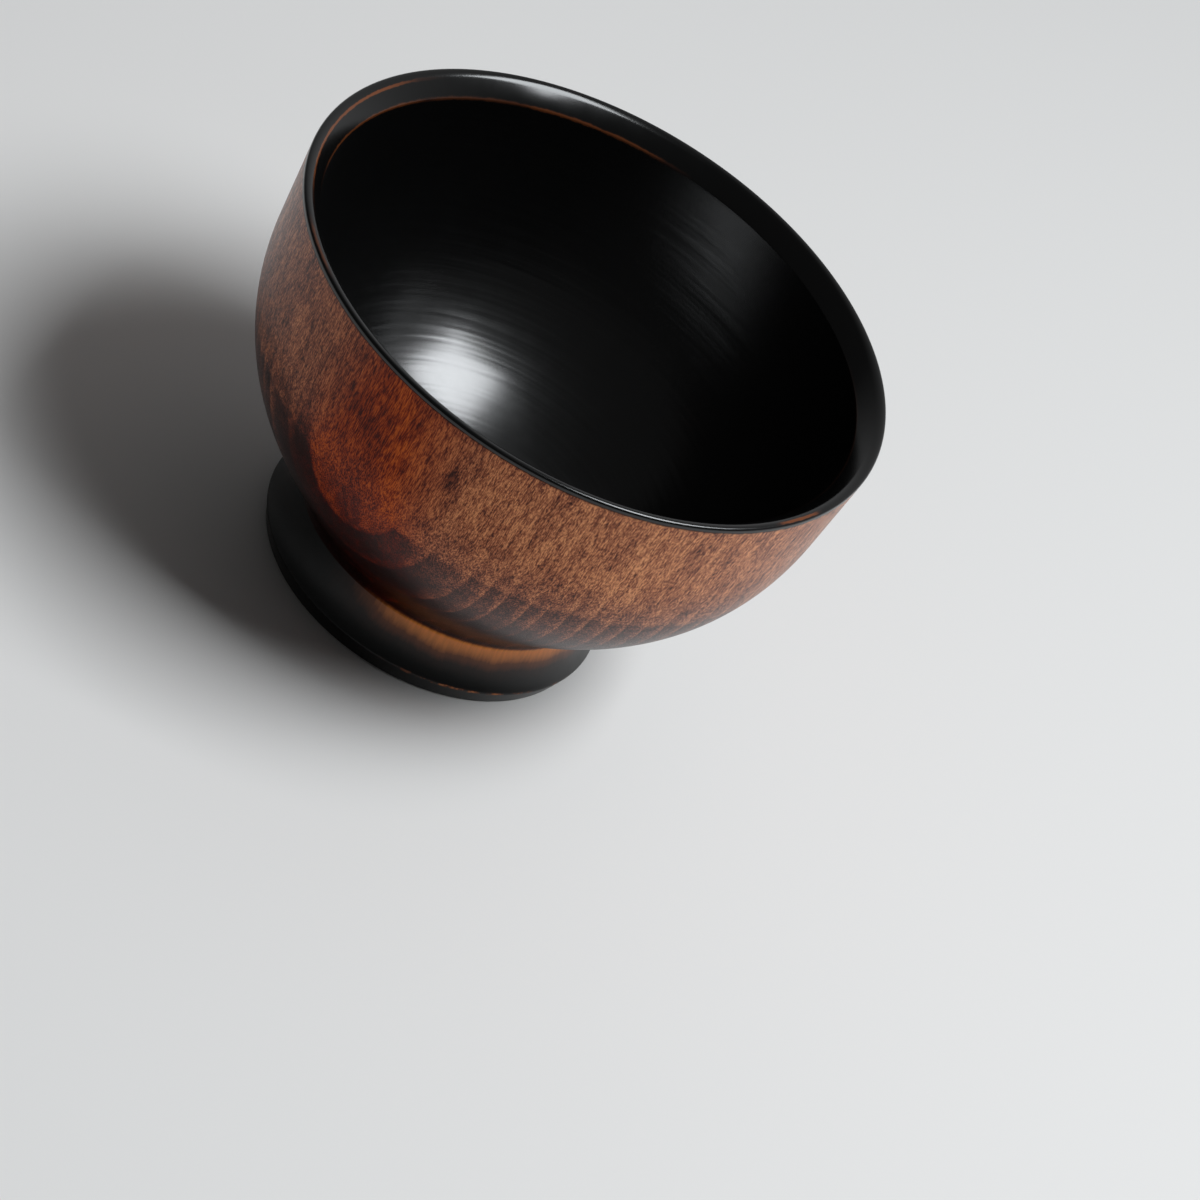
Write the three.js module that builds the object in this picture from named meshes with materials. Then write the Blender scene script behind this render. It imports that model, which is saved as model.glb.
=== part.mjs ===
// A turned wooden soup bowl on a flared foot, lacquered inside and out.
//
// The wood is one solid of revolution. Five coats of lacquer lie on it, edge to edge, and together they are the
// finished surface. Millimetres, +Z up along the axis of the turning, with the origin on the axis at the level
// that the foot stands on.

import * as THREE from "three";

// Rim
const bowlHeight = 77; // from the standing ring to the top of the lip
const rimRadius = 60; // outside of the lip
const lipRound = 0.6; // rounding of the lip's outer edge
const lipWidth = 2; // across the top of the lip
const lipFall = 0.6; // how far the lip's inner edge lies below its top
const bevelWidth = 2.65; // across the bevel inside the lip
const bevelDrop = 3.05; // height of that bevel
const bevelCrown = 0.08; // how far the bevel swells from straight
const paintLap = 0.35; // black that runs on below the lip's rounding, on the outside

// Outside
const shoulderHeight = 59; // the upright wall ends here and the belly begins
const wallTaper = 1.3; // how far the wall draws in from the lip down to the shoulder
const bellyReach = 30.4; // pull of the belly's curve below the shoulder
const coveReach = 7.4; // pull of the cove's curve above the neck
const neckHeight = 12.6;

// Inside
const wallReach = 36; // pull of the inside curve below the ridge
const wallDraft = 1.1; // how far that pull leans inwards
const floorReach = 34; // pull of the inside curve out from the axis
const bottomThickness = 8.8; // wood and lacquer between the hollow under the foot and the floor

// Foot
const footRadius = 35.4; // widest edge of the foot
const footEdgeHeight = 3.7; // height of that edge
const flareSpread = 3; // how far that edge stands out from the neck
const flareKnee = 3.7; // height above that edge where the flare's upper and lower slopes would cross
const flareLean = 0.8; // how far out from the neck they would cross
const bandTaper = 1.4; // how far the band below that edge draws in
const standWidth = 4.4; // across the ring that the bowl stands on
const standRound = 0.7; // rounding of the ring's two edges
const hollowDepth = 5.5; // hollow under the foot
const hollowFillet = 2.4; // fillet between the hollow's side and its ceiling

// Lacquer
const coatThickness = 0.3; // full build of the lacquer, square to the surface

// Radii that follow from these
const shoulderRadius = rimRadius - wallTaper;
const neckRadius = footRadius - flareSpread;
const standRadius = footRadius - bandTaper;
const hollowRadius = standRadius - standWidth;

// Fineness of the turned surfaces
const turnSegments = 48;
const bellySteps = 9;
const insideSteps = 9;
const flareSteps = 3;
const cornerSteps = 2;

const point = (radius, height) => new THREE.Vector2(radius, height);

// Points along a curve that leaves one end and reaches the other along the given handles.
function pulledCurve(start, startHandle, endHandle, end, steps) {
  const curve = new THREE.CubicBezierCurve(start, startHandle, endHandle, end);
  return curve.getPoints(steps);
}

// Points along a curve drawn towards one handle.
function bowedCurve(start, handle, end, steps) {
  const curve = new THREE.QuadraticBezierCurve(start, handle, end);
  return curve.getPoints(steps);
}

// Points of the arc that rounds the corner between two straight stretches of the outline.
function roundedCorner(before, corner, after, radius, steps) {
  const back = before.clone().sub(corner).normalize();
  const ahead = after.clone().sub(corner).normalize();
  const halfAngle = Math.acos(back.dot(ahead)) / 2;
  const middle = back.clone().add(ahead).normalize();
  const centre = corner.clone().addScaledVector(middle, radius / Math.sin(halfAngle));
  const cutBack = radius / Math.tan(halfAngle);
  const first = corner.clone().addScaledVector(back, cutBack).sub(centre);
  const last = corner.clone().addScaledVector(ahead, cutBack).sub(centre);
  const turn = Math.atan2(first.cross(last), first.dot(last));
  const arc = [];
  for (let step = 0; step <= steps; step += 1) {
    const spoke = first.clone().rotateAround(point(0, 0), (turn * step) / steps);
    arc.push(spoke.add(centre));
  }
  return arc;
}

// The finished outline, from the axis under the foot, round the outside and over the lip, to the axis inside.

// Hollow under the foot: its ceiling, fillet and side, down to the rounding of the standing ring.
function hollowLine() {
  const middle = point(0, hollowDepth);
  const ceilingCorner = point(hollowRadius, hollowDepth);
  const ringCorner = point(hollowRadius, 0);
  const ringOuter = point(standRadius, 0);
  return [
    middle,
    ...roundedCorner(middle, ceilingCorner, ringCorner, hollowFillet, cornerSteps),
    ...roundedCorner(ceilingCorner, ringCorner, ringOuter, standRound, cornerSteps),
  ];
}

// Outside of the foot: the flat standing ring, the narrow band up to the widest edge, and the flare to the neck.
function footLine() {
  const ringInner = point(hollowRadius, 0);
  const ringOuter = point(standRadius, 0);
  const edge = point(footRadius, footEdgeHeight);
  const knee = point(neckRadius + flareLean, footEdgeHeight + flareKnee);
  const neck = point(neckRadius, neckHeight);
  return [
    ...roundedCorner(ringInner, ringOuter, edge, standRound, cornerSteps),
    ...bowedCurve(edge, knee, neck, flareSteps),
  ];
}

// Outside of the bowl: the cove above the neck and the belly in one curve, then the nearly upright wall.
function outsideLine() {
  const neck = point(neckRadius, neckHeight);
  const shoulder = point(shoulderRadius, shoulderHeight);
  const wallTop = point(rimRadius, bowlHeight - lipRound);
  const downWall = shoulder.clone().sub(wallTop).normalize();
  const coveHandle = point(neckRadius, neckHeight + coveReach);
  const bellyHandle = shoulder.clone().addScaledVector(downWall, bellyReach);
  const paintEdge = wallTop.clone().addScaledVector(downWall, paintLap);
  const belly = pulledCurve(neck, coveHandle, bellyHandle, shoulder, bellySteps);
  return [...belly.slice(1), paintEdge];
}

// Lip: a small rounding outside, a top that falls inwards, and a slightly rounded bevel down to the ridge.
function rimLine() {
  const wallTop = point(rimRadius, bowlHeight - lipRound);
  const outerCorner = point(rimRadius, bowlHeight);
  const crest = point(rimRadius - lipRound, bowlHeight);
  const lipEdge = point(rimRadius - lipWidth, bowlHeight - lipFall);
  const topHandle = point((crest.x + lipEdge.x) / 2, bowlHeight);
  const ridge = ridgePoint();
  const bevelSlope = ridge.clone().sub(lipEdge).normalize();
  const outOfWood = point(bevelSlope.y, -bevelSlope.x);
  const bevelHandle = lipEdge.clone().lerp(ridge, 0.5).addScaledVector(outOfWood, 2 * bevelCrown);
  return [
    ...roundedCorner(wallTop, outerCorner, crest, lipRound, cornerSteps),
    ...bowedCurve(crest, topHandle, lipEdge, cornerSteps).slice(1),
    ...bowedCurve(lipEdge, bevelHandle, ridge, cornerSteps).slice(1),
  ];
}

// The ridge where the bevel inside the lip meets the inside of the bowl.
function ridgePoint() {
  return point(rimRadius - lipWidth - bevelWidth, bowlHeight - lipFall - bevelDrop);
}

// Inside of the bowl, from below the ridge to the middle of the floor, in one round curve.
function insideLine() {
  const ridge = ridgePoint();
  const floorHeight = hollowDepth + bottomThickness;
  const wallHandle = point(ridge.x - wallDraft, ridge.y - wallReach);
  const floorHandle = point(floorReach, floorHeight);
  return pulledCurve(ridge, wallHandle, floorHandle, point(0, floorHeight), insideSteps).slice(1);
}

// The stretch of the outline that each coat covers, in order. Each coat ends where the next one starts.
const coatLines = {
  base_lacquer: hollowLine(),
  foot_lacquer: footLine(),
  outer_lacquer: outsideLine(),
  rim_lacquer: rimLine(),
  inner_lacquer: insideLine(),
};

const finished = Object.values(coatLines).flat();

// The outline moved into the wood by the lacquer's thickness. Where it meets the axis it stays on the axis.
function underLacquer(outline) {
  const last = outline.length - 1;
  const direction = (from, to) => to.clone().sub(from).normalize();
  const mirrored = (step) => point(step.x, -step.y);
  return outline.map((here, index) => {
    const arriving = index > 0 ? direction(outline[index - 1], here) : null;
    const leaving = index < last ? direction(here, outline[index + 1]) : null;
    const before = arriving ?? mirrored(leaving);
    const after = leaving ?? mirrored(arriving);
    const inwardBefore = point(-before.y, before.x);
    const inwardAfter = point(-after.y, after.x);
    const miter = coatThickness / (1 + inwardBefore.dot(inwardAfter));
    return here.clone().addScaledVector(inwardBefore.add(inwardAfter), miter);
  });
}

const bare = underLacquer(finished);

// A solid of revolution about the Z axis.
function turned(section) {
  return new THREE.LatheGeometry(section, turnSegments).rotateX(Math.PI / 2);
}

// One coat: the finished surface on one side, the bare wood on the other, closed at both ends.
function coatGeometry(first, last) {
  const surface = finished.slice(first, last + 1);
  const underside = bare.slice(first, last + 1).reverse();
  if (first === 0) {
    return turned([...surface, ...underside]);
  }
  if (last === finished.length - 1) {
    return turned([...underside, ...surface]);
  }
  return turned([...surface, ...underside, surface[0]]);
}

const finishes = {
  wood_body: { color: 0x8a5a34, roughness: 0.7, metalness: 0 },
  base_lacquer: { color: 0x141312, roughness: 0.5, metalness: 0 },
  foot_lacquer: { color: 0x1a1817, roughness: 0.45, metalness: 0 },
  outer_lacquer: { color: 0x7c3f1c, roughness: 0.4, metalness: 0 },
  rim_lacquer: { color: 0x17110f, roughness: 0.35, metalness: 0 },
  inner_lacquer: { color: 0x0b0b0b, roughness: 0.35, metalness: 0 },
};

const bowl = new THREE.Group();

function addPiece(name, geometry) {
  const piece = new THREE.Mesh(geometry, new THREE.MeshStandardMaterial(finishes[name]));
  piece.name = name;
  bowl.add(piece);
}

addPiece("wood_body", turned(bare));

let coatStart = 0;
let pointsSoFar = 0;
for (const [name, line] of Object.entries(coatLines)) {
  pointsSoFar += line.length;
  const coatEnd = pointsSoFar - 1;
  addPiece(name, coatGeometry(coatStart, coatEnd));
  coatStart = coatEnd;
}

export default bowl;
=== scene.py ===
import math

import bmesh
import bpy
from mathutils import Matrix, Vector
from mathutils.geometry import interpolate_bezier


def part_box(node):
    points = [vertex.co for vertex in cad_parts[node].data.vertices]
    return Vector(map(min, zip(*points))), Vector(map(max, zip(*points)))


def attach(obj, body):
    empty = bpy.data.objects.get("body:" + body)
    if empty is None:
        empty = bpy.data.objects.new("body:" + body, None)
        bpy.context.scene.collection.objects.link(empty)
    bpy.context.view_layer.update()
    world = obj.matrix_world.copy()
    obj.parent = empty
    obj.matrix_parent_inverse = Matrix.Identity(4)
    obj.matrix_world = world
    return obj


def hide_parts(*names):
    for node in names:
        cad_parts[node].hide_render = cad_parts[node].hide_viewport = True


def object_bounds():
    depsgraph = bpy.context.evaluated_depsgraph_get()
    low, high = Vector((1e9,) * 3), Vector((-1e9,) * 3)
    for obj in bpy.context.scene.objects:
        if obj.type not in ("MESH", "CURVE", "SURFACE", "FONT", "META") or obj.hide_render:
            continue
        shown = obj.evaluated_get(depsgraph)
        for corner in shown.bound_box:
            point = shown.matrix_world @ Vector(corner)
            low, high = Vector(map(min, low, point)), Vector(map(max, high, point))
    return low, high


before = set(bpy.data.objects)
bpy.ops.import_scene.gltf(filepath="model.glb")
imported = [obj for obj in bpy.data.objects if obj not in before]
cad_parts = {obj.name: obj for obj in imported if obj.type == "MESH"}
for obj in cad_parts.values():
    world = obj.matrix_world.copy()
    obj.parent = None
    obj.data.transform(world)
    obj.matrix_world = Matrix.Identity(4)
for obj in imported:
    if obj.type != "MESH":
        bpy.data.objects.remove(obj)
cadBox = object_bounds()
print("frame loaded:", len(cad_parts), "turned parts")

# Drawn in millimetres, meshed in metres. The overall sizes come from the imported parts.
mm = 0.001
bowlHeight = round(cadBox[1].z / mm, 3)
rimRadius = round(cadBox[1].x / mm, 3)
footRadius = round(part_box("foot_lacquer")[1].x / mm, 3)

# Drawing the outline: x is the radius, y the height. These are the steps along its stretches.
steps = {
    "ceiling": 8,
    "fillet": 10,
    "footCorner": 6,
    "flare": 20,
    "belly": 56,
    "wall": 10,
    "lipCorner": 8,
    "lipTop": 10,
    "bevel": 14,
    "inside": 72,
}


def point(radius, height):
    return Vector((radius, height))


def pulledCurve(start, startHandle, endHandle, end, count):
    return interpolate_bezier(start, startHandle, endHandle, end, count + 1)


def bowedCurve(start, handle, end, count):
    return interpolate_bezier(start, start.lerp(handle, 2 / 3), end.lerp(handle, 2 / 3), end, count + 1)


def roundedCorner(before, corner, after, radius, count):
    back = (before - corner).normalized()
    ahead = (after - corner).normalized()
    halfAngle = back.angle(ahead) / 2
    cutBack = radius / math.tan(halfAngle)
    centre = corner + (back + ahead).normalized() * (radius / math.sin(halfAngle))
    first = corner + back * cutBack - centre
    last = corner + ahead * cutBack - centre
    turn = math.atan2(first.cross(last), first.dot(last))
    return [centre + Matrix.Rotation(turn * step / count, 2) @ first for step in range(count + 1)]


# Node helpers. A socket given as an input is linked, anything else is set on the socket.

def addNode(tree, kind, inputs, **settings):
    node = tree.nodes.new(kind)
    for name, value in settings.items():
        setattr(node, name, value)
    for name, value in inputs.items():
        if isinstance(value, bpy.types.NodeSocket):
            tree.links.new(value, node.inputs[name])
        else:
            node.inputs[name].default_value = value
    return node


def calc(tree, operation, first, second=0.0, third=0.0):
    node = addNode(tree, "ShaderNodeMath", {0: first, 1: second, 2: third}, operation=operation)
    return node.outputs[0]


def vectorCalc(tree, operation, first, second):
    node = addNode(tree, "ShaderNodeVectorMath", {0: first, 1: second}, operation=operation)
    return node.outputs["Vector"]


def vectorLength(tree, vector):
    return addNode(tree, "ShaderNodeVectorMath", {0: vector}, operation="LENGTH").outputs["Value"]


def diagonal(tree, across, along):
    acrossSquare = calc(tree, "MULTIPLY", across, across)
    alongSquare = calc(tree, "MULTIPLY", along, along)
    return calc(tree, "SQRT", calc(tree, "ADD", acrossSquare, alongSquare))


def strongest(tree, amounts):
    most = amounts[0]
    for amount in amounts[1:]:
        most = calc(tree, "MAXIMUM", most, amount)
    return most


def smoothStep(tree, value, low, high, start=0.0, end=1.0):
    inputs = {"Value": value, "From Min": low, "From Max": high, "To Min": start, "To Max": end}
    return addNode(tree, "ShaderNodeMapRange", inputs, interpolation_type="SMOOTHSTEP").outputs[0]


def colourRamp(tree, value, stops):
    node = addNode(tree, "ShaderNodeValToRGB", {"Fac": value})
    elements = node.color_ramp.elements
    while len(elements) < len(stops):
        elements.new(1.0)
    for element, (position, colour) in zip(elements, stops):
        element.position = position
        element.color = (*colour, 1.0)
    return node.outputs["Color"]


def numberRamp(tree, value, stops):
    return colourRamp(tree, value, [(position, (number,) * 3) for position, number in stops])


def blend(tree, amount, first, second):
    inputs = {"Factor": amount, 6: first, 7: second}  # inputs 6 and 7 and output 2 are the ones for colours
    return addNode(tree, "ShaderNodeMix", inputs, data_type="RGBA").outputs[2]


# Where a point of the surface lies on the bowl, in millimetres.
def bowlPosition(tree):
    coordinates = addNode(tree, "ShaderNodeTexCoord", {}).outputs["Object"]
    place = vectorCalc(tree, "MULTIPLY", coordinates, (1 / mm, 1 / mm, 1 / mm))
    axes = addNode(tree, "ShaderNodeSeparateXYZ", {0: place}).outputs
    flat = vectorCalc(tree, "MULTIPLY", place, (1, 1, 0))
    return {
        "place": place,
        "flat": flat,
        "x": axes["X"],
        "y": axes["Y"],
        "height": axes["Z"],
        "radius": vectorLength(tree, flat),
        "angle": calc(tree, "ARCTAN2", axes["Y"], axes["X"]),
    }


# Noise from 0 to 1. Every noise below is given by the width of its marks across the grain, their length along
# the bowl's axis, its detail, and a shift that sets it apart from the others.
def speckle(tree, where, noise):
    width, length, detail, shift = noise
    stretched = vectorCalc(tree, "MULTIPLY", where["place"], (1 / width, 1 / width, 1 / length))
    moved = vectorCalc(tree, "ADD", stretched, (shift, 2 * shift, 3 * shift))
    inputs = {"Vector": moved, "Scale": 1.0, "Detail": detail, "Roughness": 0.55}
    return addNode(tree, "ShaderNodeTexNoise", inputs).outputs[0]


# The same noise, from -0.5 to 0.5.
def sway(tree, where, noise):
    return calc(tree, "SUBTRACT", speckle(tree, where, noise), 0.5)


# Marks left by the turning: noise along one to three measures of the bowl.
def turningMarks(tree, measures, detail):
    rounds = addNode(tree, "ShaderNodeCombineXYZ", dict(enumerate(measures)))
    inputs = {"Vector": rounds.outputs[0], "Scale": 1.0, "Detail": detail}
    return addNode(tree, "ShaderNodeTexNoise", inputs).outputs[0]


def startLook(name, sockets):
    material = bpy.data.materials.new(name)
    material.use_nodes = True
    tree = material.node_tree
    shader = tree.nodes["Principled BSDF"]
    for socket, value in sockets.items():
        shader.inputs[socket].default_value = value
    return material, tree, shader


def addBump(tree, shader, height, depth):
    inputs = {"Height": height, "Strength": 1.0, "Distance": depth * mm}
    bump = addNode(tree, "ShaderNodeBump", inputs)
    tree.links.new(bump.outputs["Normal"], shader.inputs["Normal"])


# Places round the bowl, each with its centre and half width in degrees, and its strength.
patchCore = 0.4  # share of a patch's width that has its full strength


def patchesRound(tree, where, patches):
    amounts = []
    for centre, halfWidth, amount in patches:
        facing = calc(tree, "COSINE", calc(tree, "SUBTRACT", where["angle"], math.radians(centre)))
        outer = math.cos(math.radians(halfWidth))
        inner = math.cos(math.radians(patchCore * halfWidth))
        amounts.append(smoothStep(tree, facing, outer, inner, 0.0, amount))
    return strongest(tree, amounts)


# The wood. Its grain runs along the axis, and its rings are round a pith that lies outside the bowl.
wood = {
    "pith": (-23.2, -70.0, 0.0),
    "wander": (26.0, 80.0, 1.0, 3.0),
    "wanderReach": 3.0,
    "ringReaches": (21.3, 27.7, 36.0, 40.1, 43.6, 48.2, 51.2, 55.5, 59.7, 63.9, 67.6),
    "outerRings": 16,  # beyond those
    "outerSpacing": 4.2,
    "ringTones": ((0.0, 0.1), (0.05, 1.0), (0.58, 0.85), (0.84, 0.25), (0.94, 0.0), (1.0, 0.0)),
    "redMiddle": (-13.5, -40.6, 0.0),  # a red streak runs up the bowl here, in golden wood
    "redFade": ((16.5, 0.0), (18.7, 0.3), (22.5, 0.78), (33.0, 0.92), (45.0, 1.0)),  # how golden, by distance
    "marks": {  # the noise of each, and the values between which it darkens the wood
        "dash": ((0.17, 3.6, 2.0, 1.0), 0.44, 0.58),
        "streak": ((0.80, 8.0, 2.0, 4.5), 0.36, 0.64),
        "fleck": ((0.25, 0.65, 2.0, 2.0), 0.45, 0.57),
        "spot": ((1.70, 2.30, 3.0, 6.5), 0.54, 0.70),
        "ripple": ((5.0, 0.9, 3.0, 7.5), 0.56, 0.70),
        "mottle": ((4.5, 6.5, 3.0, 8.5), 0.36, 0.64),
        "cloud": ((11.0, 24.0, 2.0, 5.0), 0.30, 0.70),
    },
    "redTones": (
        (0.00, (0.620, 0.118, 0.012)),
        (0.25, (0.380, 0.050, 0.005)),
        (0.50, (0.160, 0.010, 0.001)),
        (0.75, (0.046, 0.002, 0.001)),
        (1.00, (0.009, 0.001, 0.001)),
    ),
    "goldTones": (
        (0.00, (0.840, 0.392, 0.180)),
        (0.25, (0.585, 0.226, 0.106)),
        (0.50, (0.285, 0.090, 0.047)),
        (0.75, (0.095, 0.034, 0.026)),
        (1.00, (0.018, 0.011, 0.011)),
    ),
    "bareTones": (
        (0.00, (0.640, 0.440, 0.260)),
        (0.50, (0.460, 0.280, 0.150)),
        (1.00, (0.220, 0.120, 0.060)),
    ),
}


# Distance from an upright line in the wood, in millimetres. It wanders a little, as wood grows.
def woodReach(tree, where, middle):
    straight = vectorLength(tree, vectorCalc(tree, "SUBTRACT", where["flat"], middle))
    return calc(tree, "MULTIPLY_ADD", sway(tree, where, wood["wander"]), wood["wanderReach"], straight)


# Darkness of the rings: they are counted outwards from the pith, and each has the same tones up to the next.
def woodRing(tree, reach):
    total = len(wood["ringReaches"]) + wood["outerRings"]
    farthest = wood["ringReaches"][-1] + wood["outerRings"] * wood["outerSpacing"]
    counts = [*enumerate((0.0, *wood["ringReaches"])), (total, farthest)]
    stops = [(at / farthest, count / total) for count, at in counts]
    counted = numberRamp(tree, calc(tree, "DIVIDE", reach, farthest), stops)
    ringToNext = calc(tree, "FRACT", calc(tree, "MULTIPLY", counted, total))
    return numberRamp(tree, ringToNext, wood["ringTones"])


def woodMark(tree, where, mark):
    noise, low, high = wood["marks"][mark]
    return smoothStep(tree, speckle(tree, where, noise), low, high)


# Black lacquer, rubbed through to amber where worn is 1.
lacquer = {
    "tones": (
        (0.00, (0.0018, 0.0018, 0.0018)),
        (0.30, (0.0200, 0.0070, 0.0040)),
        (0.65, (0.1700, 0.0460, 0.0110)),
        # the brightest amber is lighter than the lacquer's own colour: painted light for the brightly lit
        # neck
        (1.00, (0.9000, 0.2900, 0.0580)),
    ),
    "mottle": (5.0, 5.0, 4.0, 11.0),
    "edgeRagged": (1.6, 1.6, 3.0, 7.0),
    "edgeCore": 0.35,  # share of a worn edge's width that is rubbed through fully
}


def blackLacquer(tree, shader, where, worn, piece):
    if worn is None:
        shader.inputs["Base Color"].default_value = (*lacquer["tones"][0][1], 1.0)
    else:
        tree.links.new(colourRamp(tree, worn, lacquer["tones"]), shader.inputs["Base Color"])
    mottle = sway(tree, where, lacquer["mottle"])
    rough = calc(tree, "MULTIPLY_ADD", mottle, piece["roughnessSpread"], piece["roughness"])
    tree.links.new(rough, shader.inputs["Roughness"])
    return mottle


# How close a point lies to an edge that runs round the bowl: 1 on the edge, 0 beyond the given width.
def nearEdge(tree, where, edge, width):
    across = calc(tree, "SUBTRACT", where["radius"], edge.x)
    along = calc(tree, "SUBTRACT", where["height"], edge.y)
    ragged = sway(tree, where, lacquer["edgeRagged"])
    gap = calc(tree, "MULTIPLY_ADD", ragged, width, diagonal(tree, across, along))
    return smoothStep(tree, gap, lacquer["edgeCore"] * width, width, 1.0, 0.0)


# Hollow under the foot.
base = {
    "hollowRadius": 29.6,
    "hollowDepth": 5.5,
    "hollowFillet": 2.4,
    "standRound": 0.7,
    "ior": 1.5,
    "roughness": 0.42,
    "roughnessSpread": 0.18,
    "ringWidth": 1.4,
    "ringDetail": 3.0,
    "ringDepth": 0.012,
    "mottleShare": 0.5,
}

# Foot: the standing ring, the narrow band up to the widest edge, and the flare to the neck.
foot = {
    "standRadius": 34.0,
    "edgeHeight": 3.7,
    "edgeRound": 0.6,
    "flareKnee": 3.7,
    "flareLean": 0.8,
    "neckRadius": 32.4,
    "neckHeight": 12.6,
    "glowHeights": (5.0, 12.6),  # the amber fades in from black between these
    "glowSways": (  # noise, and its reach in height
        ((6.0, 30.0, 2.0, 4.0), 1.6),
        ((0.45, 6.0, 3.0, 6.0), 0.14),
    ),
    # where round the bowl the amber shows: painted light on the lit front right, painted shade on the front
    # left
    "amberAndShadePatches": ((-46.0, 76.0, 1.0), (40.0, 60.0, 0.8), (150.0, 60.0, 0.9)),
    "glowStreak": 0.05,  # how much the wood's streaks take off the amber
    "edgeWear": 0.5,
    # a worn line at the widest edge; on the front right it is also a painted highlight along the edge
    "edgeWearAndHighlightPatches": ((-50.0, 42.0, 1.0), (60.0, 30.0, 0.7), (165.0, 40.0, 0.8)),
    "edgeBreaks": (2.2, 2.2, 3.0, 9.0),
    "edgeBreakFade": (0.40, 0.62),
    "edgeStrength": 0.75,
    "ior": 1.42,
    "roughness": 0.34,
    "roughnessSpread": 0.14,
    "mottleDepth": 0.02,
}


def hollowLine():
    middle = point(0, base["hollowDepth"])
    ceilingCorner = point(base["hollowRadius"], base["hollowDepth"])
    ringCorner = point(base["hollowRadius"], 0)
    ringOuter = point(foot["standRadius"], 0)
    fillet = roundedCorner(middle, ceilingCorner, ringCorner, base["hollowFillet"], steps["fillet"])
    ceiling = [middle.lerp(fillet[0], step / steps["ceiling"]) for step in range(steps["ceiling"])]
    ring = roundedCorner(ceilingCorner, ringCorner, ringOuter, base["standRound"], steps["footCorner"])
    return ceiling + fillet + ring


def footEdge():
    return point(footRadius, foot["edgeHeight"])


def footNeck():
    return point(foot["neckRadius"], foot["neckHeight"])


def footLine():
    ringInner = point(base["hollowRadius"], 0)
    ringOuter = point(foot["standRadius"], 0)
    knee = point(foot["neckRadius"] + foot["flareLean"], foot["edgeHeight"] + foot["flareKnee"])
    ring = roundedCorner(ringInner, ringOuter, footEdge(), base["standRound"], steps["footCorner"])
    edge = roundedCorner(ringOuter, footEdge(), knee, foot["edgeRound"], steps["footCorner"])
    return ring + edge + bowedCurve(edge[-1], knee, footNeck(), steps["flare"])[1:]


def baseLook():
    material, tree, shader = startLook("baseBlack", {"IOR": base["ior"]})
    where = bowlPosition(tree)
    mottle = blackLacquer(tree, shader, where, None, base)
    inwards = calc(tree, "DIVIDE", where["radius"], base["ringWidth"])
    rings = turningMarks(tree, [inwards], base["ringDetail"])
    addBump(tree, shader, calc(tree, "MULTIPLY_ADD", mottle, base["mottleShare"], rings), base["ringDepth"])
    return material


# Amber at the neck, on the foot and a little way up the bowl, less where the wood has dark streaks. Its
# strength round the bowl is also painted light and shade: full on the lit front right, weaker on the shaded
# front left.
def neckAmber(tree, where, fade, streak, streakPull):
    glow = calc(tree, "MULTIPLY", fade, patchesRound(tree, where, foot["amberAndShadePatches"]))
    return calc(tree, "MULTIPLY_ADD", streak, -streakPull, glow)


def footLook():
    material, tree, shader = startLook("footBlack", {"IOR": foot["ior"]})
    where = bowlPosition(tree)
    level = where["height"]
    for noise, reach in foot["glowSways"]:
        level = calc(tree, "MULTIPLY_ADD", sway(tree, where, noise), reach, level)
    fade = smoothStep(tree, level, *foot["glowHeights"])
    # the amber's strength round the bowl is painted light and shade, strongest on the lit front right
    glow = neckAmber(tree, where, fade, woodMark(tree, where, "streak"), foot["glowStreak"])
    # worn amber line at the widest edge, on the front right also a painted highlight
    line = nearEdge(tree, where, footEdge(), foot["edgeWear"])
    line = calc(tree, "MULTIPLY", line, patchesRound(tree, where, foot["edgeWearAndHighlightPatches"]))
    breaks = smoothStep(tree, speckle(tree, where, foot["edgeBreaks"]), *foot["edgeBreakFade"])
    line = calc(tree, "MULTIPLY", calc(tree, "MULTIPLY", line, breaks), foot["edgeStrength"])
    mottle = blackLacquer(tree, shader, where, strongest(tree, [glow, line]), foot)
    addBump(tree, shader, mottle, foot["mottleDepth"])
    return material


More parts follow.
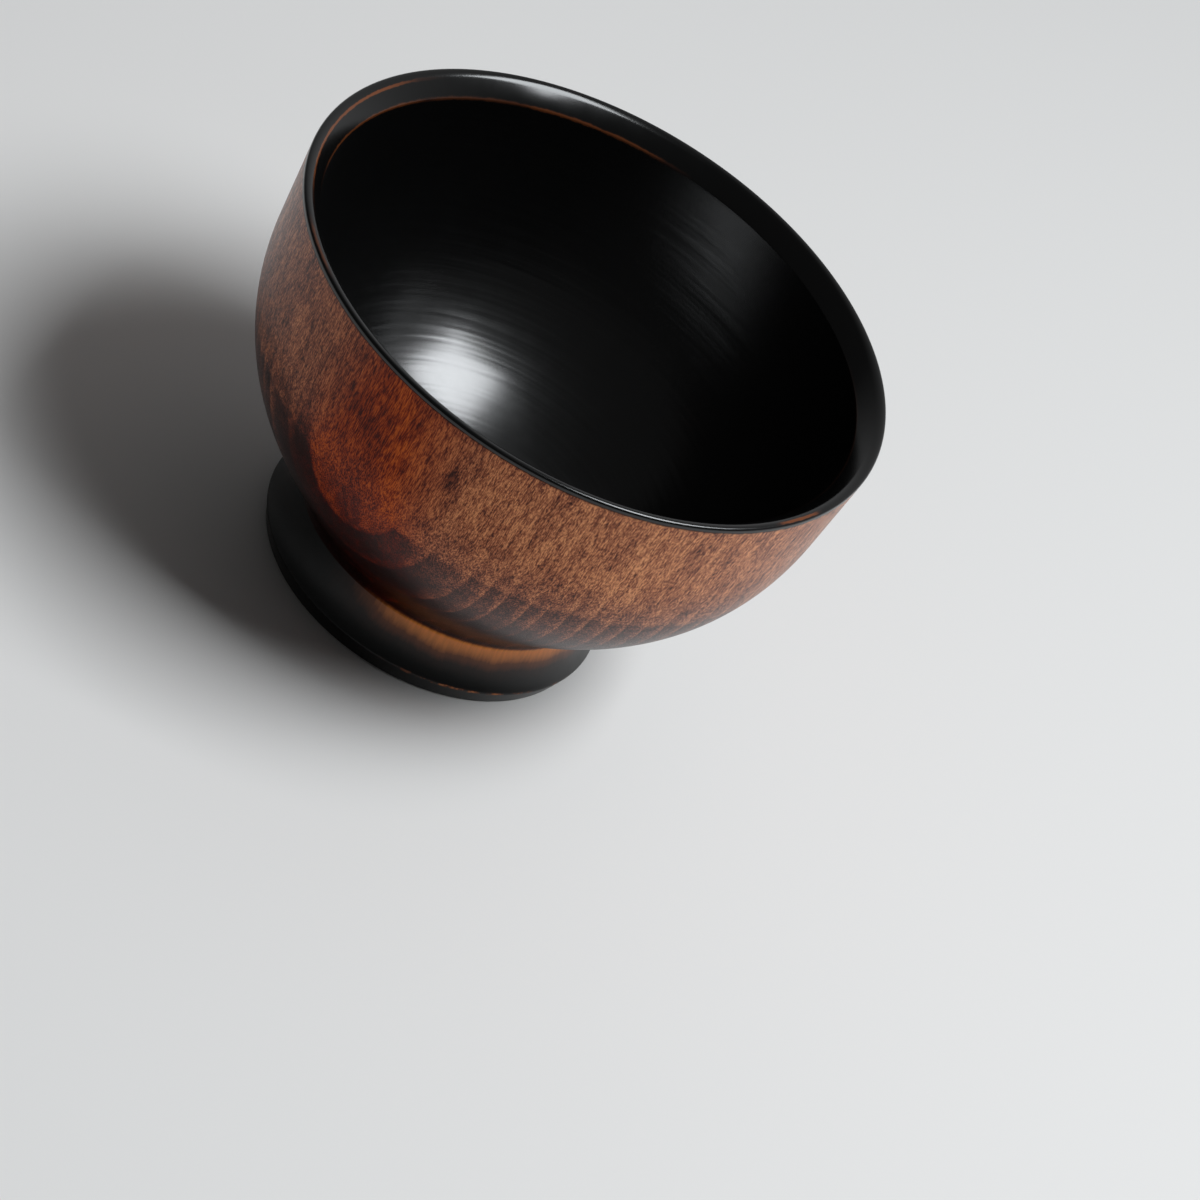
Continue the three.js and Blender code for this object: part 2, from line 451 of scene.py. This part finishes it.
# Outside of the bowl: the cove above the neck and the belly in one curve, then the nearly upright wall.
outside = {
    "shoulderHeight": 59.0,
    "wallTaper": 1.3,
    "bellyReach": 30.4,
    "coveReach": 7.4,
    "paintLap": 0.35,
    "startStain": (-0.20, 0.025),  # in red wood, and the change in golden wood
    "markPulls": {  # how far each mark darkens red wood, and the change in golden wood
        "dash": (0.42, -0.10),
        "streak": (0.15, 0.0),
        "fleck": (0.10, 0.20),
        "spot": (0.08, 0.10),
        "ripple": (0.0, 0.12),
        "mottle": (0.18, -0.06),
        "cloud": (0.16, -0.05),
    },
    "ringPull": 0.06,
    "lowPulls": {  # lower down the stain is deeper: how far it darkens the rings, and all the wood
        "dusk": (0.11, 0.06),
        "smudge": (0.20, 0.11),
        "sink": (0.14, 0.40),
    },
    "duskStart": 61.0,  # below this height the wood darkens
    "toneStart": 47.0,  # below this one stain gathers behind the rings
    "toneEnd": 28.0,  # and down to this one it sinks in all over
    "toneSway": ((5.0, 9.0, 3.0, 8.0), 3.0),  # noise, and its reach in height
    "toneEdge": 0.8,
    "smudgeFade": (11.0, 0.3),  # how far down the smudges fade, and what is left of them there
    "firstRingFade": (-0.4, 0.6),  # at the first ring, beyond which smudge and sink are stronger
    "innerSmudge": 0.6,
    "outerSink": 0.06,
    # darker patches round the bowl: the one on the left is painted shade on the side turned from the light,
    # the one on the right a darker tone of the wood
    "shadeAndTonePatches": ((-145.0, 38.0, 0.20), (-8.0, 42.0, 0.09)),
    "darkSpots": ((-92.0, 66.0, 1.3, 2.8, 0.32), (-110.0, 65.0, 7.0, 6.0, 0.16)),
    "spotRagged": ((1.5, 3.0, 3.0, 14.0), 1.2),  # noise, and its reach as a share of a spot's size
    "spotFade": (0.4, 1.3),
    "neckGlow": (14.6, 12.6),  # the amber at the neck reaches up to the first of these
    "neckStreak": 0.08,
    "lapRagged": ((1.2, 3.0, 3.0, 12.0), 0.5),  # noise, and its reach in height
    "lapFade": 0.25,
    "ior": 1.45,
    "reflectionTint": (0.40, 0.12, 0.06, 1.0),
    "roughness": 0.28,
    "dashRoughness": 0.08,
    "dashDepth": 0.006,
}

# Lip: a small rounding outside, a top that falls inwards, and a rounded bevel down to the ridge.
rim = {
    "lipRound": 0.6,
    "lipWidth": 2.0,
    "lipFall": 0.6,
    "bevelWidth": 2.65,
    "bevelDrop": 3.05,
    "bevelCrown": 0.08,
    "ridgeRound": 0.6,
    "crestWear": 0.5,
    "crestPatches": ((-26.0, 7.0, 0.62), (-140.0, 9.0, 0.40)),
    "lipWear": 0.45,
    "lipPatches": ((179.0, 34.0, 0.60), (-75.0, 14.0, 0.35)),
    "ridgeWear": 0.6,
    "ridgePatches": ((172.0, 30.0, 0.45), (136.0, 24.0, 0.36), (112.0, 24.0, 0.46), (-20.0, 60.0, 0.25)),
    "ior": 1.52,
    "roughness": 0.17,
    "roughnessSpread": 0.06,
    "mottleDepth": 0.008,
}


def wallTop():
    return point(rimRadius, bowlHeight - rim["lipRound"])


def crest():
    return point(rimRadius - rim["lipRound"], bowlHeight)


def lipEdge():
    return point(rimRadius - rim["lipWidth"], bowlHeight - rim["lipFall"])


def ridge():
    return lipEdge() - point(rim["bevelWidth"], rim["bevelDrop"])


def outsideLine():
    neck = footNeck()
    shoulder = point(rimRadius - outside["wallTaper"], outside["shoulderHeight"])
    downWall = (shoulder - wallTop()).normalized()
    coveHandle = neck + point(0, outside["coveReach"])
    bellyHandle = shoulder + downWall * outside["bellyReach"]
    paintEdge = wallTop() + downWall * outside["paintLap"]
    belly = pulledCurve(neck, coveHandle, bellyHandle, shoulder, steps["belly"])
    wall = [shoulder.lerp(paintEdge, (step + 1) / steps["wall"]) for step in range(steps["wall"])]
    return belly[1:] + wall


# Dark spots in the wood: degrees round, height, half width and half height in millimetres, and strength.
def darkSpots(tree, where):
    noise, reach = outside["spotRagged"]
    ragged = sway(tree, where, noise)
    amounts = []
    for around, height, halfWidth, halfHeight, amount in outside["darkSpots"]:
        sideways = calc(tree, "SUBTRACT", where["angle"], math.radians(around))
        across = calc(tree, "MULTIPLY", sideways, rimRadius / halfWidth)
        along = calc(tree, "DIVIDE", calc(tree, "SUBTRACT", where["height"], height), halfHeight)
        gap = calc(tree, "MULTIPLY_ADD", ragged, reach, diagonal(tree, across, along))
        amounts.append(smoothStep(tree, gap, *outside["spotFade"], amount, 0.0))
    return strongest(tree, amounts)


# How golden the wood is, from 0 in the middle of the red streak to 1 away from it.
def woodGold(tree, where):
    farthest = wood["redFade"][-1][0]
    stops = [(at / farthest, amount) for at, amount in wood["redFade"]]
    fromRed = calc(tree, "DIVIDE", woodReach(tree, where, wood["redMiddle"]), farthest)
    return numberRamp(tree, fromRed, stops)


# The lower belly, where dark stain gathers behind each ring and then sinks in all over.
def lowStains(tree, where, beyond):
    noise, reach = outside["toneSway"]
    level = calc(tree, "MULTIPLY_ADD", sway(tree, where, noise), reach, where["height"])
    start, edge = outside["toneStart"], outside["toneEdge"]
    fadeDepth, fadeLeft = outside["smudgeFade"]
    smudge = smoothStep(tree, level, start - edge, start + edge, 1.0, 0.0)
    fading = smoothStep(tree, level, start - fadeDepth, start, fadeLeft, 1.0)
    inner = outside["innerSmudge"]
    smudge = calc(tree, "MULTIPLY", smudge, fading)
    smudge = calc(tree, "MULTIPLY", smudge, calc(tree, "MULTIPLY_ADD", beyond, 1.0 - inner, inner))
    return {
        "dusk": smoothStep(tree, level, start, outside["duskStart"], 1.0, 0.0),
        "smudge": smudge,
        "sink": smoothStep(tree, level, outside["toneEnd"], start, 1.0, 0.0),
    }


# How dark the stained wood is, from 0 to 1.
def woodStain(tree, where, golden, marks):
    reach = woodReach(tree, where, wood["pith"])
    firstRing = wood["ringReaches"][0]
    beyond = smoothStep(tree, reach, *(firstRing + gap for gap in outside["firstRingFade"]))
    low = lowStains(tree, where, beyond)
    ringPull = outside["ringPull"]
    for name, (onRings, _) in outside["lowPulls"].items():
        ringPull = calc(tree, "MULTIPLY_ADD", low[name], onRings, ringPull)
    inRed, change = outside["startStain"]
    stain = calc(tree, "MULTIPLY_ADD", golden, change, inRed)
    stain = calc(tree, "MULTIPLY_ADD", woodRing(tree, reach), ringPull, stain)
    for mark, (inRed, change) in outside["markPulls"].items():
        pull = calc(tree, "MULTIPLY_ADD", golden, change, inRed)
        stain = calc(tree, "MULTIPLY_ADD", marks[mark], pull, stain)
    for name, (_, allOver) in outside["lowPulls"].items():
        stain = calc(tree, "MULTIPLY_ADD", low[name], allOver, stain)
    outerSink = calc(tree, "MULTIPLY", low["sink"], beyond)
    stain = calc(tree, "MULTIPLY_ADD", outerSink, outside["outerSink"], stain)
    # painted shade on the left side, and a darker tone of the wood on the right
    stain = calc(tree, "ADD", stain, patchesRound(tree, where, outside["shadeAndTonePatches"]))
    return calc(tree, "ADD", stain, darkSpots(tree, where))


def outsideLook():
    sockets = {"IOR": outside["ior"], "Specular Tint": outside["reflectionTint"]}
    material, tree, shader = startLook("amberWood", sockets)
    where = bowlPosition(tree)
    marks = {mark: woodMark(tree, where, mark) for mark in wood["marks"]}
    golden = woodGold(tree, where)
    stain = woodStain(tree, where, golden, marks)
    redTone = colourRamp(tree, stain, wood["redTones"])
    goldTone = colourRamp(tree, stain, wood["goldTones"])
    tone = blend(tree, golden, redTone, goldTone)
    # amber again at the neck, with the same painted light and shade round the bowl
    fade = smoothStep(tree, where["height"], *outside["neckGlow"])
    glow = neckAmber(tree, where, fade, marks["streak"], outside["neckStreak"])
    tone = blend(tree, smoothStep(tree, glow, 0.0, 1.0), tone, colourRamp(tree, glow, lacquer["tones"]))
    # black from the lip laps a hair over the wood
    noise, reach = outside["lapRagged"]
    ragged = calc(tree, "MULTIPLY_ADD", speckle(tree, where, noise), reach, where["height"])
    paintEdge = wallTop().y - outside["paintLap"]
    lap = smoothStep(tree, ragged, paintEdge - outside["lapFade"], paintEdge + outside["lapFade"])
    black = (*lacquer["tones"][0][1], 1.0)
    tree.links.new(blend(tree, lap, tone, black), shader.inputs["Base Color"])
    rough = calc(tree, "MULTIPLY_ADD", marks["dash"], outside["dashRoughness"], outside["roughness"])
    tree.links.new(rough, shader.inputs["Roughness"])
    addBump(tree, shader, marks["dash"], outside["dashDepth"])
    return material


def bevelHandle():
    slope = (ridge() - lipEdge()).normalized()
    outOfWood = point(slope.y, -slope.x)
    return lipEdge().lerp(ridge(), 0.5) + outOfWood * (2 * rim["bevelCrown"])


# The rounded ridge, in two halves: the lip's lacquer ends on its middle, and the inside's goes on from there.
def ridgeHalves():
    wallHandle, _ = insideHandles()
    line = roundedCorner(bevelHandle(), ridge(), wallHandle, rim["ridgeRound"], steps["lipCorner"])
    half = steps["lipCorner"] // 2 + 1
    return line[:half], line[half:]


def rimLine():
    topHandle = point((crest().x + lipEdge().x) / 2, bowlHeight)
    outerCorner = point(rimRadius, bowlHeight)
    upperRidge, _ = ridgeHalves()
    outer = roundedCorner(wallTop(), outerCorner, crest(), rim["lipRound"], steps["lipCorner"])
    top = bowedCurve(crest(), topHandle, lipEdge(), steps["lipTop"])
    bevel = bowedCurve(lipEdge(), bevelHandle(), upperRidge[0], steps["bevel"])
    return outer + top[1:] + bevel[1:] + upperRidge[1:]


def rimWear(tree, where):
    edges = (
        (crest(), rim["crestWear"], rim["crestPatches"]),
        (lipEdge(), rim["lipWear"], rim["lipPatches"]),
        (ridge(), rim["ridgeWear"], rim["ridgePatches"]),
    )
    lines = []
    for edge, width, patches in edges:
        line = nearEdge(tree, where, edge, width)
        lines.append(calc(tree, "MULTIPLY", line, patchesRound(tree, where, patches)))
    return strongest(tree, lines)


def rimLook():
    material, tree, shader = startLook("rimBlack", {"IOR": rim["ior"]})
    where = bowlPosition(tree)
    mottle = blackLacquer(tree, shader, where, rimWear(tree, where), rim)
    addBump(tree, shader, mottle, rim["mottleDepth"])
    return material


# Inside of the bowl, from the ridge to the middle of the floor, in one round curve.
inside = {
    "wallReach": 36.0,
    "wallDraft": 1.1,
    "floorReach": 34.0,
    "floorHeight": 14.3,
    "ior": 1.70,
    "roughness": 0.235,
    "roughnessSpread": 0.06,
    "ringWidth": 2.2,  # of the turning marks under the lacquer
    "ringRun": 34.0,  # about how far each mark runs round the bowl
    "ringDetail": 1.0,
    "ringDepth": 0.060,
}


def insideHandles():
    wallHandle = ridge() - point(inside["wallDraft"], inside["wallReach"])
    return wallHandle, point(inside["floorReach"], inside["floorHeight"])


def insideLine():
    wallHandle, floorHandle = insideHandles()
    _, lowerRidge = ridgeHalves()
    bottom = point(0, inside["floorHeight"])
    return lowerRidge + pulledCurve(lowerRidge[-1], wallHandle, floorHandle, bottom, steps["inside"])[1:]


def insideLook():
    material, tree, shader = startLook("insideBlack", {"IOR": inside["ior"]})
    where = bowlPosition(tree)
    blackLacquer(tree, shader, where, rimWear(tree, where), inside)
    down = calc(tree, "DIVIDE", calc(tree, "ADD", where["radius"], where["height"]), inside["ringWidth"])
    sideways = calc(tree, "DIVIDE", where["x"], inside["ringRun"])
    away = calc(tree, "DIVIDE", where["y"], inside["ringRun"])
    rings = turningMarks(tree, [down, sideways, away], inside["ringDetail"])
    addBump(tree, shader, rings, inside["ringDepth"])
    return material


# The bare wood under the lacquer.
core = {
    "startStain": 0.05,
    "ringPull": 0.35,
    "markPulls": {"dash": 0.30, "cloud": 0.25},
    "ior": 1.45,
    "roughness": 0.58,
    "dashRoughness": 0.12,
    "dashDepth": 0.02,
}


def coreLook():
    material, tree, shader = startLook("bareWood", {"IOR": core["ior"]})
    where = bowlPosition(tree)
    marks = {mark: woodMark(tree, where, mark) for mark in core["markPulls"]}
    ring = woodRing(tree, woodReach(tree, where, wood["pith"]))
    stain = calc(tree, "MULTIPLY_ADD", ring, core["ringPull"], core["startStain"])
    for mark, pull in core["markPulls"].items():
        stain = calc(tree, "MULTIPLY_ADD", marks[mark], pull, stain)
    tree.links.new(colourRamp(tree, stain, wood["bareTones"]), shader.inputs["Base Color"])
    rough = calc(tree, "MULTIPLY_ADD", marks["dash"], core["dashRoughness"], core["roughness"])
    tree.links.new(rough, shader.inputs["Roughness"])
    addBump(tree, shader, marks["dash"], core["dashDepth"])
    return material


# Turning. The coats lie edge to edge on the wood, each coat as thick as the lacquer.
turning = {
    "coatThickness": 0.3,
    "segments": 192,
    "sharpAngle": 40.0,
    "axisGap": 1e-6,  # nearer than this, a point lies on the axis
}


# The outline moved into the wood by the lacquer's thickness.
def underLacquer(outline):
    moved = []
    last = len(outline) - 1
    for index, here in enumerate(outline):
        arriving = (here - outline[index - 1]).normalized() if index > 0 else None
        leaving = (outline[index + 1] - here).normalized() if index < last else None
        before = arriving or point(leaving.x, -leaving.y)
        after = leaving or point(arriving.x, -arriving.y)
        inwards = point(-before.y - after.y, before.x + after.x)
        moved.append(here + inwards * (turning["coatThickness"] / (1 + before.dot(after))))
    return moved


# Turns a closed section about the axis.
def turnedMesh(name, section):
    build = bmesh.new()
    segments = turning["segments"]
    angles = [2 * math.pi * step / segments for step in range(segments)]
    rings = []
    for spot in section:
        if spot.x < turning["axisGap"]:
            rings.append([build.verts.new((0, 0, spot.y * mm))])
        else:
            spokes = [(spot.x * math.cos(angle) * mm, spot.x * math.sin(angle) * mm) for angle in angles]
            rings.append([build.verts.new((*spoke, spot.y * mm)) for spoke in spokes])
    pairs = list(zip(rings, rings[1:]))
    if section[0].x > turning["axisGap"]:
        pairs.append((rings[-1], rings[0]))
    for lower, upper in pairs:
        for step in range(segments):
            ahead = (step + 1) % segments
            corners = [lower[step % len(lower)], lower[ahead % len(lower)]]
            corners += [upper[ahead % len(upper)], upper[step % len(upper)]]
            build.faces.new(dict.fromkeys(corners))
    mesh = bpy.data.meshes.new(name)
    build.to_mesh(mesh)
    build.free()
    mesh.polygons.foreach_set("use_smooth", [True] * len(mesh.polygons))
    mesh.set_sharp_from_angle(angle=math.radians(turning["sharpAngle"]))
    return mesh


def turnedPiece(name, section, look, node):
    mesh = turnedMesh(name, section)
    mesh.materials.append(look)
    piece = bpy.data.objects.new(name, mesh)
    bpy.context.scene.collection.objects.link(piece)
    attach(piece, "root")
    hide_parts(node)
    print("turned", name, len(mesh.polygons), "faces")


coats = (
    ("baseLacquer", hollowLine(), baseLook(), "base_lacquer", "black_lacquer_base"),
    ("footLacquer", footLine(), footLook(), "foot_lacquer", "black_lacquer_foot"),
    ("outerLacquer", outsideLine(), outsideLook(), "outer_lacquer", "amber_lacquer"),
    ("rimLacquer", rimLine(), rimLook(), "rim_lacquer", "black_lacquer_rim"),
    ("innerLacquer", insideLine(), insideLook(), "inner_lacquer", "black_lacquer_inside"),
)
finished = [spot for coat in coats for spot in coat[1]]
bare = underLacquer(finished)
turnedPiece("turnedWood", bare, coreLook(), "wood_body")
start = 0
end = -1
for name, line, look, node, slot in coats:
    end += len(line)
    surface = finished[start:end + 1]
    underside = bare[start:end + 1][::-1]
    section = underside + surface if end == len(finished) - 1 else surface + underside
    turnedPiece(name, section, look, node)
    start = end
print("pieces turned:", len(coats) + 1)


# Stage
stage = {
    "floorRadius": 8.0,
    "floorSegments": 96,
    "floorTone": (0.79, 0.775, 0.76),
    "floorRoughness": 0.7,
    "floorSpecular": 0.2,
    "paleTone": (0.38, 0.385, 0.39),  # the room is pale behind the bowl and to its right, and dim in front
    "paleAzimuth": 70.0,
    "paleFrom": 0.9,  # cosine of the angle within which the room is fully pale
    "dimTone": (0.05, 0.05, 0.05),
    "keyAzimuth": 2.0,
    "keyElevation": 61.4,
    "keyDistance": 1.2,
    "keyWidth": 0.68,
    "keyHeight": 0.58,
    "keyPower": 15.6,
    "keyColour": (0.93, 0.97, 1.0),
}


def makeFloor():
    build = bmesh.new()
    bmesh.ops.create_circle(
        build, cap_ends=True, segments=stage["floorSegments"], radius=stage["floorRadius"]
    )
    mesh = bpy.data.meshes.new("floor")
    build.to_mesh(mesh)
    build.free()
    sockets = {
        "Base Color": (*stage["floorTone"], 1.0),
        "Roughness": stage["floorRoughness"],
        "Specular IOR Level": stage["floorSpecular"],
    }
    mesh.materials.append(startLook("paleFloor", sockets)[0])
    floor = bpy.data.objects.new("floor", mesh)
    bpy.context.scene.collection.objects.link(floor)


# The way to a light or a side of the room, from its azimuth and elevation in degrees.
def wayTo(azimuth, elevation):
    around, up = math.radians(azimuth), math.radians(elevation)
    return Vector((math.cos(up) * math.cos(around), math.cos(up) * math.sin(around), math.sin(up)))


def makeLight():
    world = bpy.data.worlds.new("softSky")
    world.use_nodes = True
    tree = world.node_tree
    direction = addNode(tree, "ShaderNodeTexCoord", {}).outputs["Generated"]
    inputs = {0: direction, 1: wayTo(stage["paleAzimuth"], 0.0)}
    facing = addNode(tree, "ShaderNodeVectorMath", inputs, operation="DOT_PRODUCT").outputs["Value"]
    stops = ((0.0, stage["dimTone"]), (stage["paleFrom"], stage["paleTone"]))
    tree.links.new(colourRamp(tree, facing, stops), tree.nodes["Background"].inputs["Color"])
    bpy.context.scene.world = world
    lamp = bpy.data.lights.new("softBox", "AREA")
    lamp.shape = "RECTANGLE"
    lamp.size = stage["keyWidth"]
    lamp.size_y = stage["keyHeight"]
    lamp.energy = stage["keyPower"]
    lamp.color = stage["keyColour"]
    towards = wayTo(stage["keyAzimuth"], stage["keyElevation"])
    softBox = bpy.data.objects.new("softBox", lamp)
    softBox.location = Vector((0, 0, bowlHeight * mm)) + towards * stage["keyDistance"]
    softBox.rotation_euler = (-towards).to_track_quat("-Z", "Y").to_euler()
    bpy.context.scene.collection.objects.link(softBox)


# Camera: it looks into the bowl from the front, and rolls so that the bowl leans to the right in the frame.
shot = {
    "elevation": 36.79,
    "roll": 33.63,
    "distance": 0.8789,  # from the middle of the rim
    "rimRight": 0.00033,  # where the middle of the rim lies from the centre of the frame
    "rimAbove": 0.05722,
    "lens": 142.55,
}


def makeCamera():
    elevation, roll = math.radians(shot["elevation"]), math.radians(shot["roll"])
    towards = Vector((0, -math.cos(elevation), math.sin(elevation)))
    levelRight = Vector((1, 0, 0))
    levelUp = towards.cross(levelRight)
    frameRight = levelRight * math.cos(roll) + levelUp * math.sin(roll)
    frameUp = levelUp * math.cos(roll) - levelRight * math.sin(roll)
    rimMiddle = Vector((0, 0, bowlHeight * mm))
    lens = bpy.data.cameras.new("camera")
    lens.lens = shot["lens"]
    camera = bpy.data.objects.new("camera", lens)
    camera.matrix_world = Matrix((frameRight, frameUp, towards)).transposed().to_4x4()
    camera.location = rimMiddle + towards * shot["distance"]
    camera.location -= frameRight * shot["rimRight"] + frameUp * shot["rimAbove"]
    bpy.context.scene.collection.objects.link(camera)
    bpy.context.scene.camera = camera


makeFloor()
makeLight()
makeCamera()
bpy.context.scene.view_settings.view_transform = "Standard"
print("stage, light and camera set")
